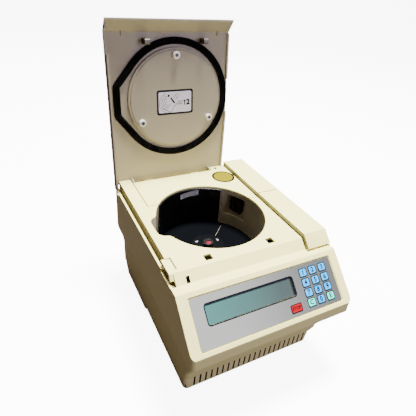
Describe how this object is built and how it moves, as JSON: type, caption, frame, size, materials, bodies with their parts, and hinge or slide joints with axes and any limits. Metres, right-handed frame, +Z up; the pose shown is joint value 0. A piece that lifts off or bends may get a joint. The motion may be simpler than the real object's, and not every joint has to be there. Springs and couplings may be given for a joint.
{
  "type": "sedimentation rate analyzer",
  "caption": "Bench analyzer that spins blood tubes in a round chamber under a hinged lid, with a sloping keypad console, a display and raised covers on the right.",
  "frame": {"origin": "middle of the bounding box on the surface that the feet stand on", "axes": "+Z up, +Y towards the back with the hinge, +X to the operator's right, keypad console facing -Y"},
  "size_m": [0.241, 0.3425, 0.4329],
  "materials": {
    "body_plastic": "fine grained moulded, cream",
    "base_plastic": "fine grained moulded, warm beige",
    "foot_rubber": "moulded, dull",
    "screw_steel": "plated",
    "chamber_plastic": "smooth moulded, light grey",
    "mat_rubber": "dull, dark blue",
    "black_gloss": "glossy black",
    "black_plastic": "fine grained black",
    "lens_glass": "polished",
    "bearing_steel": "ground",
    "shaft_steel": "ground",
    "hub_black": "satin black",
    "insert_red": "satin red",
    "motor_paint": "painted can",
    "plate_steel": "zinc plated sheet",
    "plate_plastic": "smooth moulded, beige",
    "gasket_rubber": "soft foam",
    "white_plastic": "smooth moulded, off-white",
    "coil_case": "lacquered",
    "membrane_film": "printed membrane, pale grey",
    "display_glass": "smooth, grey green",
    "board_laminate": "green solder mask",
    "prong_brass": "bare",
    "port_shell": "plated shell"
  },
  "bodies": {
    "root": {"base_tray": "base_plastic", "board_parts": "black_plastic", "board_screws": "screw_steel", "board_standoffs": "plate_steel", "bracket_screws": "screw_steel", "case_screws": "screw_steel", "case_shell": "body_plastic", "chamber_bowl": "chamber_plastic", "chamber_mat": "mat_rubber", "deck_screw": "screw_steel", "display_glass": "display_glass", "display_module": "black_plastic", "feet": "foot_rubber", "hinge_pins": "shaft_steel", "inlet_prongs": "prong_brass", "inlet_screws": "screw_steel", "keypad_overlay": "membrane_film", "latch_guides": "white_plastic", "latch_solenoid": "coil_case", "latch_spring": "shaft_steel", "main_board": "board_laminate", "motor_body": "motor_paint", "motor_bracket": "plate_steel", "motor_isolators": "foot_rubber", "power_inlet": "black_plastic", "power_supply": "plate_steel", "reader_block": "black_plastic", "reader_lens": "lens_glass", "rear_deck": "body_plastic", "serial_jacks": "screw_steel", "serial_port": "port_shell", "side_cover_front": "body_plastic", "side_cover_rear": "body_plastic", "spindle_bearing": "bearing_steel", "spindle_housing": "black_plastic", "spindle_screws": "screw_steel", "switch_frame": "black_plastic", "wall_shield": "black_gloss"},
    "lid": {"lid_shell": "body_plastic", "lid_inner_plate": "plate_plastic", "lid_gasket": "gasket_rubber", "lid_knobs": "white_plastic", "lid_screws": "screw_steel", "lid_strikers": "white_plastic"},
    "spindle": {"motor_shaft": "shaft_steel", "drive_hub": "hub_black", "hub_insert": "insert_red"},
    "latch": {"latch_bar": "plate_steel", "latch_plunger": "shaft_steel"},
    "rocker": {"power_switch": "black_gloss"}
  },
  "joints": [
    {"name": "lid_hinge", "type": "hinge", "parent": "root", "child": "lid", "pos_m": [0, 0.1378, 0.185], "axis": [1, 0, 0], "range_deg": [0, 96.4]},
    {"name": "spindle_turn", "type": "hinge", "parent": "root", "child": "spindle", "pos_m": [-0.013, 0.007, 0.13], "axis": [0, 0, 1], "continuous": true},
    {"name": "latch_slide", "type": "slide", "parent": "root", "child": "latch", "axis": [-1, 0, 0], "range_m": [0, 0.004], "stiffness_N_per_m": 300, "springref_m": -0.002, "deforming": ["latch_spring"]},
    {"name": "rocker_tilt", "type": "hinge", "parent": "root", "child": "rocker", "pos_m": [0.036, 0.1418, 0.062], "axis": [-1, 0, 0], "range_deg": [0, 18]}
  ]
}
